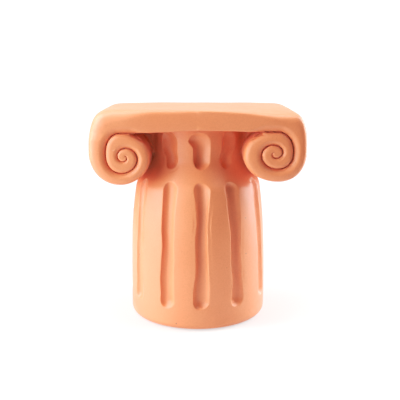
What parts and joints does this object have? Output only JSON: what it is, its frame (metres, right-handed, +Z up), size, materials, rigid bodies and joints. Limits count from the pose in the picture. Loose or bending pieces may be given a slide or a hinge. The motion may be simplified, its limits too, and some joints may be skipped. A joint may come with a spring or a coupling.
{
  "type": "terracotta capital",
  "caption": "Hand-modelled Ionic capital in fired clay: a gouged drum and dimpled neck under a thick slab whose ends roll down into spiral volutes; stands on its own base.",
  "frame": {"origin": "on the floor, under the middle of the bounding box, on the axis of the drum", "axes": "+Z up, -Y towards the front, +X to the right of someone who faces the front"},
  "size_m": [0.369, 0.248, 0.38],
  "materials": {
    "terracotta": "matt, unglazed fired clay"
  },
  "bodies": {
    "root": {"terracotta_capital": "terracotta"}
  },
  "joints": []
}
